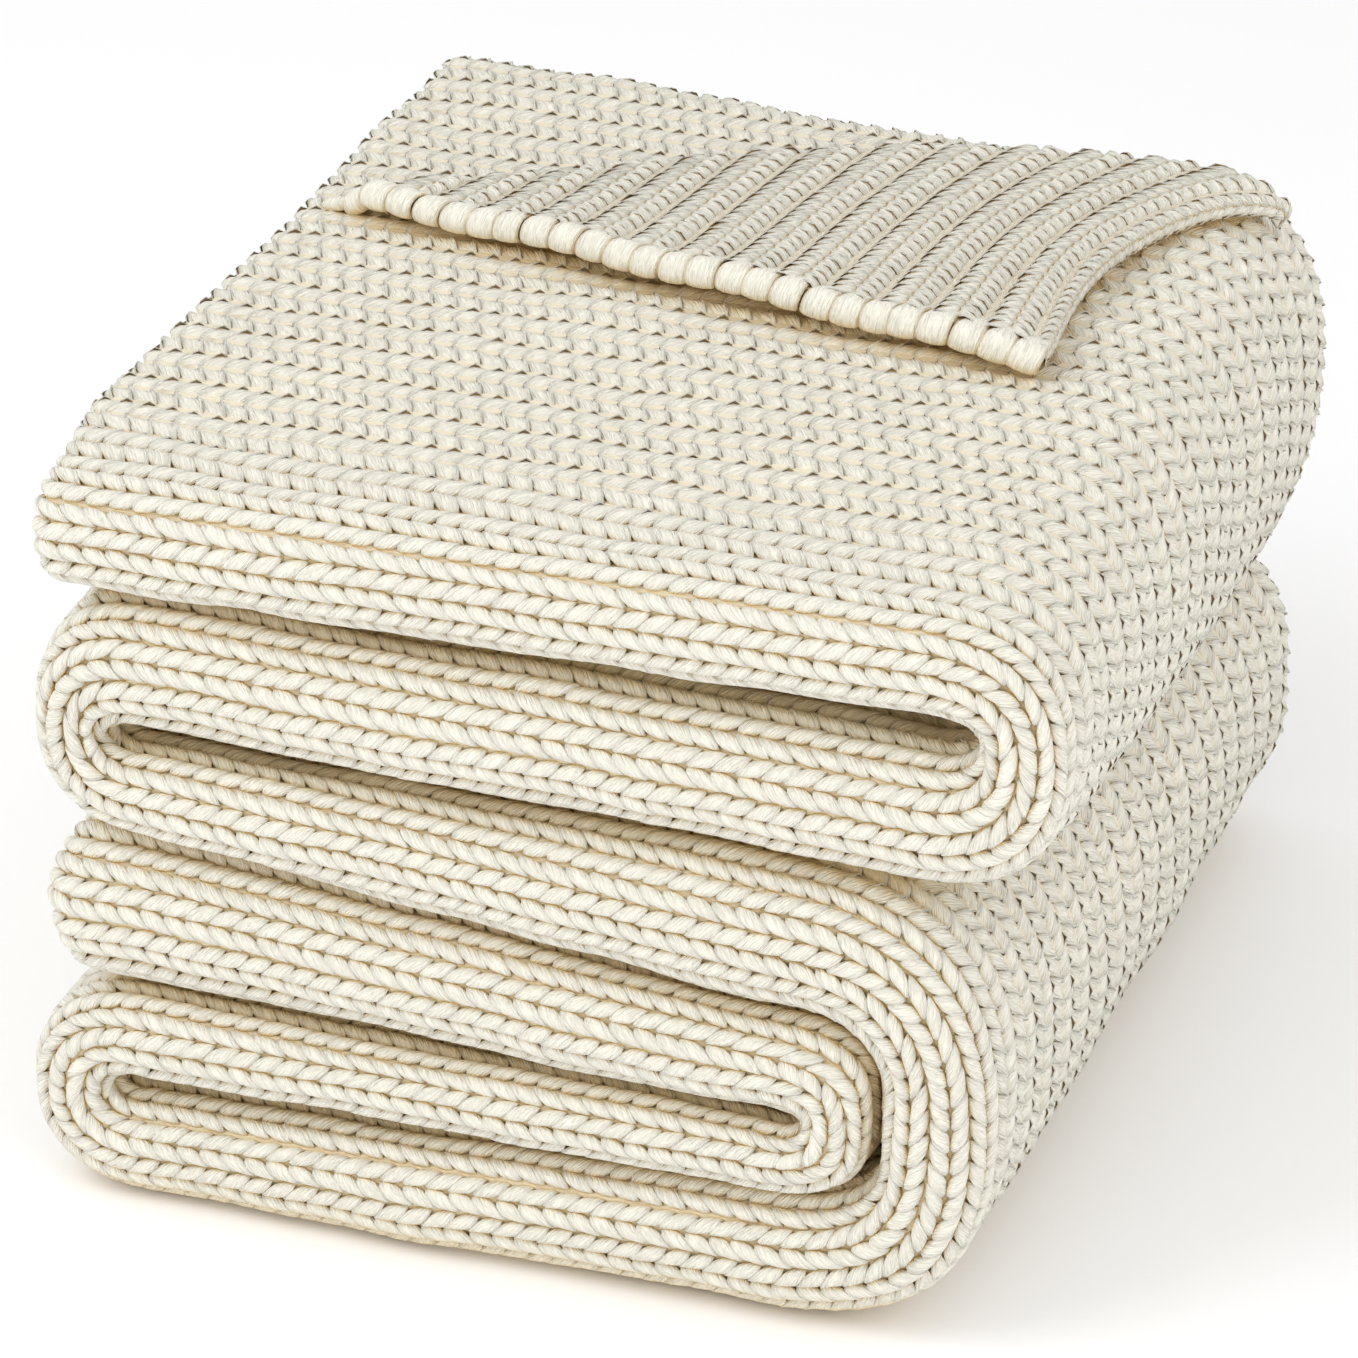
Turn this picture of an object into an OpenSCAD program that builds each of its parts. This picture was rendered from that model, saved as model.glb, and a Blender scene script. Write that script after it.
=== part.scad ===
// Chunky knitted throw, folded lengthwise into a four-ply strip and then stacked in six layers.
// +X runs along the front edge to the right, +Y to the back, +Z up. The origin is at the centre of
// the underside. The strip runs: top panel, right upper fold, second panel, left upper fold, third
// panel, right outer fold, bottom panel, left lower fold, fifth panel, right inner fold, fourth panel.

/* [Stack] */
// Depth of the stack, front to back
stack_depth = 296; // [240:1:320]
// Clearance between layers that lie on each other
layer_gap = 1.5; // [1.4:0.1:2.4]
// Gap between a panel and the fold that it runs into
seam = 0.4; // [0.3:0.1:0.8]

/* [Layer thickness at the front left] */
// Bottom panel
bottom_left_t = 32; // [24:1:40]
// Fifth panel
fifth_left_t = 28; // [20:1:36]
// Fourth panel
fourth_left_t = 46; // [36:1:50]
// Third panel
third_left_t = 26; // [22:1:36]
// Second panel
second_left_t = 39; // [30:1:46]
// Top panel
top_left_t = 32; // [24:1:40]

/* [Layer thickness at the front right] */
// Bottom panel
bottom_right_t = 37; // [30:1:42]
// Fifth panel
fifth_right_t = 21; // [18:1:30]
// Fourth panel
fourth_right_t = 30; // [20:1:30]
// Third panel
third_right_t = 44; // [36:1:56]
// Second panel
second_right_t = 39; // [30:1:46]
// Top panel
top_right_t = 32; // [24:1:40]

/* [Sag towards the back] */
// Height of the lower four layers at the back left corner
lower_back_left = 124; // [100:1:132]
// Height of the lower four layers at the back right corner
lower_back_right = 98; // [90:1:132]

/* [Right folds] */
// Centre of the upper fold, from the middle of the stack
upper_fold_x = 100; // [90:1:110]
// How far the upper fold reaches past its centre
upper_fold_reach = 35; // [30:1:40]
// How far the gap inside the upper fold reaches past its centre
upper_gap_reach = 13; // [8:1:16]
// Centre of the outer and inner lower folds, from the middle of the stack
lower_fold_x = 59; // [50:1:70]
// How far the outer fold reaches past its centre
outer_fold_reach = 60; // [56:1:66]
// How far the inner fold reaches past its centre
inner_fold_reach = 29; // [26:1:34]
// How far the gap inside the inner fold reaches past its centre
inner_gap_reach = 10; // [6:1:12]

/* [Left folds] */
// Centre of the upper left fold, from the middle of the stack
left_upper_x = -101; // [-106:1:-96]
// How far the upper left fold reaches past its centre
left_upper_reach = 28; // [24:1:34]
// Centre of the lower left fold, from the middle of the stack
left_lower_x = -104; // [-108:1:-98]
// How far the lower left fold reaches past its centre
left_lower_reach = 31; // [26:1:34]
// How far the gaps inside the left folds reach past their centres
left_gap_reach = 9; // [6:1:12]

/* [Free ends of the strip] */
// Left end of the top panel
top_end_x = -124; // [-128:1:-118]
// Left end of the fourth panel
inner_end_x = -128; // [-131:1:-120]
// Width of the bound edge that closes each end
end_edge_w = 8; // [6:1:10]

/* [Turned corner] */
// Thickness of the single ply that is turned over
ply = 7; // [5:0.5:8]
// Diameter of the bound-off edge
bound_edge_d = 8; // [6:0.5:9]
// Diameter of the side edge
side_edge_d = 7; // [5:0.5:8]

/* [Hidden] */

knit_cream = [0.93, 0.91, 0.85];
edge_cream = [0.90, 0.86, 0.77];
panel_steps = 14;
fold_steps = 14;
arc_steps = 12;
outer_round = 2.5;
gap_round = 2;

left_t = [bottom_left_t, fifth_left_t, fourth_left_t, third_left_t, second_left_t, top_left_t];
right_t = [bottom_right_t, fifth_right_t, fourth_right_t, third_right_t, second_right_t, top_right_t];

// Where the boundary over the k lowest layers ends on the right.
right_x = [lower_fold_x, lower_fold_x, lower_fold_x, lower_fold_x, upper_fold_x, upper_fold_x,
           upper_fold_x];
// Half of the gap at each boundary, at the left and at the right. It opens towards its fold.
g = layer_gap / 2;
half_gaps = [[0, 0], [3, g], [g, 2], [g, g], [3, g], [g, 4.5], [0, 0]];

// Height of the boundary over the k lowest layers, at the front.
function stacked(t, k) = k == 0 ? 0 : stacked(t, k - 1) + t[k - 1];

// The same boundary at the back, where the lower four layers share the height lower.
function stacked_back(t, k, lower) =
    k <= 4 ? stacked(t, k) * lower / stacked(t, 4)
           : lower + (stacked(t, k) - stacked(t, 4)) * (stacked(t, 6) - lower)
                     / (stacked(t, 6) - stacked(t, 4));

// How far x lies from the left folds to the right end of boundary k, from 0 to 1.
function share(k, x) = max(0, min(1, (x - left_upper_x) / (right_x[k] - left_upper_x)));

// [front, back] height of boundary k at x.
function level(k, x) =
    let (f = share(k, x))
    [stacked(left_t, k) * (1 - f) + stacked(right_t, k) * f,
     stacked_back(left_t, k, lower_back_left) * (1 - f)
         + stacked_back(right_t, k, lower_back_right) * f];

// Half of the gap at boundary k at x, and the faces of the layers under it and over it.
function half_gap(k, x) = half_gaps[k][0] * (1 - share(k, x)) + half_gaps[k][1] * share(k, x);
function under(k, x) = level(k, x) - [half_gap(k, x), half_gap(k, x)];
function over(k, x) = level(k, x) + [half_gap(k, x), half_gap(k, x)];

// The half circle that rounds one long side of a section, over angles a0 to a1. p and q are its
// lower and upper points in the XZ plane, and its outermost point is at y_edge.
function side_arc(p, q, y_edge, side, a0, a1) =
    let (r = norm(q - p) / 2, mid = (p + q) / 2, up = (q - p) / norm(q - p))
    [for (k = [0 : arc_steps])
        let (a = a0 + (a1 - a0) * k / arc_steps, m = mid + up * r * sin(a))
        [m[0], y_edge - side * r * (1 - cos(a)), m[1]]];

// The closed outline of a section: p and q at the front, pb and qb at the back.
function section(p, q, pb, qb) =
    concat(side_arc(p, q, -stack_depth / 2, -1, 90, -90),
           side_arc(pb, qb, stack_depth / 2, 1, -90, 90));

// A solid through a row of closed outlines, each with the same number of points.
module skin(outlines) {
    n = len(outlines[0]);
    m = len(outlines);
    ring = [for (j = [0 : m - 2], i = [0 : n - 1]) [j * n + i, j * n + (i + 1) % n]];
    polyhedron(
        points = [for (o = outlines) each o],
        faces = concat([[for (i = [0 : n - 1]) i]],
                       [[for (i = [n - 1 : -1 : 0]) (m - 1) * n + i]],
                       [for (e = ring) [e[0], e[0] + n, e[1] + n]],
                       [for (e = ring) [e[0], e[1] + n, e[1]]]));
}

// A panel section at x between heights lo and hi, each [front, back].
function flat_section(x, lo, hi) = section([x, lo[0]], [x, hi[0]], [x, lo[1]], [x, hi[1]]);

// The layer between boundaries k - 1 and k, from xa to xb.
module panel(k, xa, xb) {
    skin([for (i = [0 : panel_steps])
        let (x = xa + (xb - xa) * i / panel_steps)
        flat_section(x, over(k - 1, x), under(k, x))]);
}

// A point on a fold: phi runs from 90 at the top to -90 at the bottom, n squares the curve.
function fold_point(x, top, bottom, reach, phi, n) =
    [x + reach * pow(max(0, cos(phi)), 2 / n),
     (top + bottom) / 2 + (top - bottom) / 2 * sign(sin(phi)) * pow(abs(sin(phi)), 2 / n)];

// A fold round a gap. outer and inner are [top, bottom, reach], with [front, back] heights, and n
// squares the gap's curve. A negative reach turns the fold to the left.
module fold(x, outer, inner, n) {
    angles = [for (i = [0 : fold_steps]) (outer[2] > 0 ? 90 : -90) * (1 - 2 * i / fold_steps)];
    skin([for (phi = angles)
        section(fold_point(x, inner[0][0], inner[1][0], inner[2], phi, n),
                fold_point(x, outer[0][0], outer[1][0], outer[2], phi, outer_round),
                fold_point(x, inner[0][1], inner[1][1], inner[2], phi, n),
                fold_point(x, outer[0][1], outer[1][1], outer[2], phi, outer_round))]);
}

module top_panel() {
    color(knit_cream)
        panel(6, top_end_x + end_edge_w + seam, upper_fold_x - seam);
}

module second_panel() {
    color(knit_cream)
        panel(5, left_upper_x + seam, upper_fold_x - seam);
}

module third_panel() {
    color(knit_cream)
        panel(4, left_upper_x + seam, lower_fold_x - seam);
}

module fourth_panel() {
    color(knit_cream)
        panel(3, inner_end_x + end_edge_w + seam, lower_fold_x - seam);
}

module fifth_panel() {
    color(knit_cream)
        panel(2, left_lower_x + seam, lower_fold_x - seam);
}

module bottom_panel() {
    color(knit_cream)
        panel(1, left_lower_x + seam, lower_fold_x - seam);
}

module right_upper_fold() {
    x = upper_fold_x;
    color(knit_cream)
        fold(x, [under(6, x), over(4, x), upper_fold_reach],
             [over(5, x), under(5, x), upper_gap_reach], gap_round);
}

module left_upper_fold() {
    x = left_upper_x;
    color(knit_cream)
        fold(x, [under(5, x), over(3, x), -left_upper_reach],
             [over(4, x), under(4, x), -left_gap_reach], gap_round);
}

module right_outer_fold() {
    x = lower_fold_x;
    color(knit_cream)
        fold(x, [under(4, x), over(0, x), outer_fold_reach],
             [over(3, x), under(1, x), inner_fold_reach + layer_gap], outer_round);
}

module right_inner_fold() {
    x = lower_fold_x;
    color(knit_cream)
        fold(x, [under(3, x), over(1, x), inner_fold_reach],
             [over(2, x), under(2, x), inner_gap_reach], gap_round);
}

module left_lower_fold() {
    x = left_lower_x;
    color(knit_cream)
        fold(x, [under(2, x), over(0, x), -left_lower_reach],
             [over(1, x), under(1, x), -left_gap_reach], gap_round);
}

// The bound edge that closes a free end of layer k, a little thinner at its outer side.
module end_edge(k, x) {
    lo = over(k - 1, x);
    hi = under(k, x);
    thin = (hi - lo) / 6;
    color(edge_cream)
        skin([flat_section(x, lo + thin, hi - thin),
              flat_section(x + end_edge_w / 3, lo + thin / 3, hi - thin / 3),
              flat_section(x + end_edge_w, lo, hi)]);
}

module top_end_edge() {
    end_edge(6, top_end_x);
}

module inner_end_edge() {
    end_edge(3, inner_end_x);
}

// The turned corner lies on the top panel. Its bound-off edge runs from the left end of the crease
// to the free tip, its side edge from the tip to the back right, and its crease back to the left.
corner_z = stacked(left_t, 6) + layer_gap;
bound_line = [[-100, 27], [-72, 20], [-33, 12], [40, -3], [86, -9]];
side_line = [[88, 1], [86, 42], [89, 62], [98, 84]];
crease_line = [[98, 109], [64, 106], [34, 94], [9, 84], [-16, 74], [-49, 60], [-78, 41], [-96, 34]];
bound_shift = (bound_edge_d / 2 + seam) * 1.12;
side_shift = (side_edge_d / 2 + seam) * 1.12;

module turned_corner() {
    outline = concat([for (i = [0 : 3]) bound_line[i] + [0, bound_shift]],
                     [bound_line[4] + [-bound_shift, bound_shift]],
                     [for (q = side_line) q + [-side_shift, 2]],
                     crease_line);
    color(knit_cream)
        translate([0, 0, corner_z])
            linear_extrude(ply)
                polygon(outline);
}

// A round edge that follows a line of points.
module edge_rod(line, d) {
    for (i = [0 : len(line) - 2])
        hull()
            for (q = [line[i], line[i + 1]])
                translate([q[0], q[1], corner_z + d / 2])
                    sphere(d = d, $fn = 16);
}

module bound_off_edge() {
    color(edge_cream)
        edge_rod(bound_line, bound_edge_d);
}

module corner_side_edge() {
    color(edge_cream)
        edge_rod(side_line, side_edge_d);
}

top_panel();
second_panel();
third_panel();
fourth_panel();
fifth_panel();
bottom_panel();
right_upper_fold();
left_upper_fold();
right_outer_fold();
right_inner_fold();
left_lower_fold();
top_end_edge();
inner_end_edge();
turned_corner();
bound_off_edge();
corner_side_edge();
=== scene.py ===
"""A folded chunky-knit throw. Wherever stitches can be seen, each leg is modelled on the strip's surface.

Lengths are in millimetres until a mesh is made. The strip is one path of stations: the top panel, round the
right upper fold, the second panel and so on down to the fourth panel. Each station has a closed loop round
the strip. A place on the strip is (f, v): f is the station, and v is the distance round the loop from the
middle of the front edge, positive on the outer side of the top panel and negative on its underside.
"""

import math

import bpy
import numpy as np
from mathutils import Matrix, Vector


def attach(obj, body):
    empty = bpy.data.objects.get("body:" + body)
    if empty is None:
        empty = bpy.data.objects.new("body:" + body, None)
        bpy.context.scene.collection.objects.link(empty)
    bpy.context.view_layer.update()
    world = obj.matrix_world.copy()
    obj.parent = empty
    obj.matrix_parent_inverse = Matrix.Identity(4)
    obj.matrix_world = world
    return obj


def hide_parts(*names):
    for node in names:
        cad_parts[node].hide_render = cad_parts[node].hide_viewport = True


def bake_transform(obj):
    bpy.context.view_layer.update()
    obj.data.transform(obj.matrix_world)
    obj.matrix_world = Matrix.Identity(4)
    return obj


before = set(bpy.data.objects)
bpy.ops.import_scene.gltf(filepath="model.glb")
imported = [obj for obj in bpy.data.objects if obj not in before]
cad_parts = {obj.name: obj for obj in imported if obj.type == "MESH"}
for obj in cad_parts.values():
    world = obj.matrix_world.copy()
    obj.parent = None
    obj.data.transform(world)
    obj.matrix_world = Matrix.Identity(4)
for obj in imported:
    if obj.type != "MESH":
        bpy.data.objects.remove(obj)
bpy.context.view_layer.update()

MM = 0.001
SEED = 17

# ---------------------------------------------------------------- the stack, as in the CAD
# Layer thicknesses from the bottom up, at the front's two ends. The back is lower, by a guess.
DEPTH = 296.0
HALF = DEPTH / 2
LEFT_T = (32, 28, 46, 26, 39, 32)
RIGHT_T = (37, 21, 30, 44, 39, 32)
LOWER_BACK_LEFT = 124.0
LOWER_BACK_RIGHT = 98.0
# Where the panels end and the folds begin.
LEFT_UPPER_X = -101.0
LEFT_LOWER_X = -104.0
UPPER_X = 100.0
LOWER_X = 59.0
RIGHT_X = (LOWER_X,) * 4 + (UPPER_X,) * 3
# Half of the gap at each boundary between layers, at its left and right end.
HALF_GAPS = ((0, 0), (3, 0.75), (0.75, 2), (0.75, 0.75), (3, 0.75), (0.75, 4.5), (0, 0))
TOP_END_X = -124.0
INNER_END_X = -129.0

FRONT_LEFT = np.concatenate([[0], np.cumsum(LEFT_T)]).astype(float)
FRONT_RIGHT = np.concatenate([[0], np.cumsum(RIGHT_T)]).astype(float)


def back_heights(front, lower):
    """Heights at the back, where the lower four layers share the height lower."""
    four, top = front[4], front[6]
    upper = lower + (front - four) * (top - lower) / (top - four)
    return np.where(np.arange(7) <= 4, front * lower / four, upper)


BACK_LEFT = back_heights(FRONT_LEFT, LOWER_BACK_LEFT)
BACK_RIGHT = back_heights(FRONT_RIGHT, LOWER_BACK_RIGHT)


def share(k, x):
    """How far x is from the left folds to the right folds, 0 to 1."""
    return np.clip((x - LEFT_UPPER_X) / (RIGHT_X[k] - LEFT_UPPER_X), 0, 1)


def level(k, x, y):
    """Height of the boundary over the k lowest layers. It sags soonest near the front."""
    f = share(k, x)
    front = FRONT_LEFT[k] * (1 - f) + FRONT_RIGHT[k] * f
    back = BACK_LEFT[k] * (1 - f) + BACK_RIGHT[k] * f
    sag = 1 - (1 - np.clip((y + HALF) / DEPTH, 0, 1)) ** 2
    return front + (back - front) * sag


def half_gap(k, x):
    left, right = HALF_GAPS[k]
    return left + (right - left) * share(k, x)


def under(k, x, y):
    return level(k, x, y) - half_gap(k, x)


def over(k, x, y):
    return level(k, x, y) + half_gap(k, x)


BACK_AT_LEFT = 153.0
BACK_AT_RIGHT = {"upper": 137.0, "lower": 150.0}


def back_edge(x, bundle):
    """Y of the back edge at x. The upper layers lie a little askew on the lower ones."""
    f = np.clip((x - LEFT_UPPER_X) / (UPPER_X - LEFT_UPPER_X), 0, 1)
    return BACK_AT_LEFT + (BACK_AT_RIGHT[bundle] - BACK_AT_LEFT) * f


# ---------------------------------------------------------------- the strip's path
STATION_STEP = 3.0
# The strip's free ends close over END_STEPS stations.
END_STEPS = 9
# How far the lower and the upper face run on past the panel at its free end, and the roundness.
END_SHAPES = {"top_panel": (8.0, 8.0, 3.6), "fourth_panel": (9.0, 14.0, 2.6)}
# How far the closed loop draws in from the front and back at a free end.
END_INSET = 7.0
# The upper face's end swells out near the front: at its corner, and round END_SWELL_Y.
END_CORNER_OUT = 5.5
END_SWELL_OUT = 4.5
END_SWELL_Y = -85
# How much further a fold reaches at the back than at the front.
BACK_REACH = {"right_outer_fold": 5.0, "right_upper_fold": -4.0}


def power(value, n):
    """The superellipse of exponent n, from a sine or cosine."""
    return np.sign(value) * np.abs(value) ** (2 / n)


class Panel:
    """A layer between boundaries k and k + 1, from x0 to x1. q_up says whether the q side, where v is
    positive, is its upper face, and end which of its ends is a free end of the strip."""

    def __init__(self, name, k, x0, x1, q_up, end=None):
        self.name, self.k, self.q_up = name, k, q_up
        self.bundle = "upper" if k >= 4 else "lower"
        count = max(2, int(abs(x1 - x0) / STATION_STEP))
        t = (np.arange(count) + 0.5) / count
        self.x = x0 + (x1 - x0) * t
        self.close = np.zeros(count)
        if end:
            angles = np.linspace(0, 1, END_STEPS + 1) * math.pi / 2
            if end == "first":
                self.x = np.concatenate([np.full(END_STEPS, x0), self.x])
                self.close = np.concatenate([angles[:0:-1], self.close])
            else:
                self.x = np.concatenate([self.x, np.full(END_STEPS, x1)])
                self.close = np.concatenate([self.close, angles[1:]])

    def faces(self, i, y):
        x, turn = self.x[i], self.close[i]
        low, high = over(self.k, x, y), under(self.k + 1, x, y)
        x_low = x_high = x
        if turn > 0:
            reach_low, reach_high, n = END_SHAPES[self.name]
            if self.name == "top_panel":
                further = END_CORNER_OUT * (1 - np.exp(-(y + HALF) / 40))
                further = further + END_SWELL_OUT * np.exp(-(((y - END_SWELL_Y) / 45) ** 2))
                reach_low, reach_high = reach_low + 0.6 * further, reach_high + further
            middle = (low + high) / 2
            shrink = max(math.cos(turn), 0.02) ** (2 / n)
            low, high = middle + (low - middle) * shrink, middle + (high - middle) * shrink
            out = math.sin(turn) ** (2 / n)
            x_low, x_high = x - reach_low * out, x - reach_high * out
        p_low = np.stack([x_low + 0 * y, y, low], -1)
        p_high = np.stack([x_high + 0 * y, y, high], -1)
        return (p_high, p_low) if self.q_up else (p_low, p_high)

    def inset(self, i):
        return END_INSET * (1 - math.cos(self.close[i]))

    def back(self, i):
        return back_edge(self.x[i], self.bundle)


class Fold:
    """A fold at x. outer and inner are (lower height, upper height, reach, exponent), down says whether the
    path runs down round it, and q_outer whether the q side is its outer face."""

    def __init__(self, name, x, outer, inner, down, q_outer, bundle="lower"):
        self.name, self.x, self.outer, self.inner, self.q_outer = name, x, outer, inner, q_outer
        self.bundle = bundle
        fine = np.radians(np.linspace(90, -90, 1441))
        line = self.profile(outer, fine, np.zeros(1))[:, 0]
        run = np.concatenate([[0], np.cumsum(np.linalg.norm(np.diff(line, axis=0), axis=1))])
        count = max(24, int(run[-1] / STATION_STEP))
        self.phi = np.interp((np.arange(count) + 0.5) / count * run[-1], run, fine)
        if not down:
            self.phi = self.phi[::-1]
        self.close = np.zeros(count)

    def profile(self, shape, phi, y):
        low, high, reach, n = shape
        z0, z1 = low(self.x, y), high(self.x, y)
        phi = np.asarray(phi)[:, None]
        middle, half = (z0 + z1)[None] / 2, (z1 - z0)[None] / 2
        grown = reach + BACK_REACH.get(self.name, 0) * np.clip((y[None] + HALF) / DEPTH, 0, 1)
        x = self.x + grown * power(np.cos(phi), n) + 0 * middle
        z = middle + half * power(np.sin(phi), n)
        return np.stack([x, y[None] + 0 * z, z], -1)

    def faces(self, i, y):
        outer = self.profile(self.outer, self.phi[i : i + 1], y)[0]
        inner = self.profile(self.inner, self.phi[i : i + 1], y)[0]
        return (outer, inner) if self.q_outer else (inner, outer)

    def inset(self, i):
        return 0.0

    def back(self, i):
        return back_edge(self.x, self.bundle)


def boundary(function, k):
    return lambda x, y: function(k, x, y)


AB_REACH = 35.0
AB_ROUNDNESS = 2.5
AB = Fold("right_upper_fold", UPPER_X, (boundary(over, 4), boundary(under, 6), AB_REACH, AB_ROUNDNESS),
          (boundary(under, 5), boundary(over, 5), 13, 2), True, True, "upper")
BC = Fold("left_upper_fold", LEFT_UPPER_X, (boundary(over, 3), boundary(under, 5), -28, 2.4),
          (boundary(under, 4), boundary(over, 4), -9, 2), True, False)
CF = Fold("right_outer_fold", LOWER_X, (boundary(over, 0), boundary(under, 4), 60, 2.5),
          (boundary(under, 1), boundary(over, 3), 30.4, 3.2), True, True)
EF = Fold("left_lower_fold", LEFT_LOWER_X, (boundary(over, 0), boundary(under, 2), -31, 2.4),
          (boundary(under, 1), boundary(over, 1), -9, 2), False, True)
ED = Fold("right_inner_fold", LOWER_X, (boundary(over, 1), boundary(under, 3), 29.5, 3.2),
          (boundary(under, 2), boundary(over, 2), 10, 2), False, False)
SEGMENTS = [
    Panel("top_panel", 5, TOP_END_X + 8, UPPER_X, True, "first"),
    AB,
    Panel("second_panel", 4, UPPER_X, LEFT_UPPER_X, False),
    BC,
    Panel("third_panel", 3, LEFT_UPPER_X, LOWER_X, True),
    CF,
    Panel("bottom_panel", 0, LOWER_X, LEFT_LOWER_X, False),
    EF,
    Panel("fifth_panel", 1, LEFT_LOWER_X, LOWER_X, True),
    ED,
    Panel("fourth_panel", 2, LOWER_X, INNER_END_X + 14, False, "last"),
]

# ---------------------------------------------------------------- the surface of the strip
# The size of a stitch at the front edge: a wale is its width, with both legs, and a course its length.
WALE = 11.7
COURSE = 6.2
# On the faces wales are wider by the share STRETCH, which comes in from STRETCH_FROM on.
STRETCH = 0.35
STRETCH_FROM, STRETCH_OVER = 19.0, 12.0
GRID = 1.95
LONGEST_HALF_LOOP = 366
ROUND_POINTS = 18
LARGEST_ROUND = 26.0
EDGE_ROUNDNESS = 2.35
FLAT_POINTS = 70
# The stitches stand out of the surface, so it lies this far inside the CAD's.
INSET = 1.3


def half_loop(panel, i, side):
    """Points from the middle of the front edge to the middle of the back edge over one face."""
    back = panel.back(i)
    ends = panel.faces(i, np.array([-HALF, back]))
    r0, r1 = (np.linalg.norm(ends[0][n] - ends[1][n]) / 2 for n in (0, 1))
    r0, r1 = min(r0, LARGEST_ROUND), min(r1, LARGEST_ROUND)
    rim = panel.inset(i)
    y = np.linspace(-HALF + r0 + rim, back - r1 - rim, FLAT_POINTS)
    faces = panel.faces(i, y)
    this, other = (faces[0], faces[1]) if side > 0 else (faces[1], faces[0])
    turn = np.linspace(0, math.pi / 2, ROUND_POINTS)[:-1, None]
    out = np.array([0.0, -1.0, 0.0])
    middle, arm = (this[0] + other[0]) / 2, (this[0] - other[0]) / 2
    rise, bulge = power(np.sin(turn), EDGE_ROUNDNESS), power(np.cos(turn), EDGE_ROUNDNESS)
    front = middle + arm * rise + out * r0 * bulge
    middle, arm = (this[-1] + other[-1]) / 2, (this[-1] - other[-1]) / 2
    # A guess, as the photo doesn't show the back: it is a little hollow along its middle.
    lobe = 1 - 0.42 * np.exp(-((turn / 0.26) ** 2)) - 0.05 * np.sin(turn * 2) ** 2
    rear = (middle + arm * np.sin(turn) - out * r1 * np.cos(turn) * lobe)[::-1]
    return np.concatenate([front, this, rear])


def build_surface():
    """S[station, column], its normals and the length of each half loop."""
    halves = {1: [], -1: []}
    for segment in SEGMENTS:
        for i in range(len(segment.close)):
            for side in (1, -1):
                halves[side].append(half_loop(segment, i, side))
    columns = int(LONGEST_HALF_LOOP / GRID)
    grids, lengths = {}, {}
    for side in (1, -1):
        lines = np.array(halves[side])
        run = np.cumsum(np.linalg.norm(np.diff(lines, axis=1), axis=2), axis=1)
        run = np.concatenate([np.zeros((len(lines), 1)), run], axis=1)
        v = np.arange(columns + 1) * GRID
        grids[side] = np.array([
            np.stack([np.interp(v, run[n], lines[n, :, c]) for c in range(3)], -1) for n in range(len(lines))
        ])
        lengths[side] = run[:, -1]
    surface = np.concatenate([grids[-1][:, :0:-1], grids[1]], axis=1)
    return surface, lengths[-1], lengths[1], columns


S, LENGTH_P, LENGTH_Q, MID = build_surface()
STATIONS = len(S)
START = np.cumsum([0] + [len(s.close) for s in SEGMENTS])
SEGMENT_AT = np.repeat(np.arange(len(SEGMENTS)), np.diff(START))


def normals_of(grid):
    n = np.cross(np.gradient(grid, axis=0), np.gradient(grid, axis=1))
    return n / np.maximum(np.linalg.norm(n, axis=2, keepdims=True), 1e-9)


def extend_normals(n):
    """Past the middle of the back edge the loop stops, so its last normal goes on."""
    for i in range(STATIONS):
        last_q = MID + int((LENGTH_Q[i] - 1) / GRID)
        last_p = MID - int((LENGTH_P[i] - 1) / GRID)
        n[i, last_q + 1 :] = n[i, last_q]
        n[i, :last_p] = n[i, last_p]
    return n


def undulation():
    """Slow swells of hand-folded cloth, in millimetres along the normal."""
    rng = np.random.default_rng(SEED)
    run = np.concatenate([[0], np.cumsum(np.linalg.norm(np.diff(S[:, MID], axis=0), axis=1))])
    v = (np.arange(S.shape[1]) - MID) * GRID
    total = np.zeros(S.shape[:2])
    for wave_u, wave_v, height in ((130, 90, 0.5), (75, 60, 0.35), (45, 48, 0.25), (33, 120, 0.2)):
        a, b = rng.uniform(0, 2 * math.pi, 2)
        tilt = rng.uniform(-0.3, 0.3)
        total += height * np.sin(run[:, None] / wave_u * 2 * math.pi + tilt * v / wave_v + a) * np.sin(
            v[None] / wave_v * 2 * math.pi + b)
    return total


N = extend_normals(normals_of(S))
S = S + N * (undulation() - INSET)[..., None]
N = extend_normals(normals_of(S))


def smooth_along(n):
    """Averages normals along the path, so that a leg in a tight gap doesn't twist."""
    soft = n.copy()
    soft[1:-1] = n[:-2] + 2 * n[1:-1] + n[2:]
    return soft / np.maximum(np.linalg.norm(soft, axis=2, keepdims=True), 1e-9)


N = smooth_along(smooth_along(N))

# Stitch positions, and the distances that they turn into as the wales widen.
NOMINAL_STEP = 0.25
NOMINAL = np.linspace(0, 400, 1601)
EASE = np.clip((NOMINAL - STRETCH_FROM) / STRETCH_OVER, 0, 1)
WIDENED = NOMINAL + STRETCH * np.cumsum(EASE * EASE * (3 - 2 * EASE)) * NOMINAL_STEP


def spread(u):
    """Distance round the strip of a stitch position u. A wale is WALE wide at the edge, wider on a face."""
    return np.sign(u) * np.interp(np.abs(u), NOMINAL, WIDENED)


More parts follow.
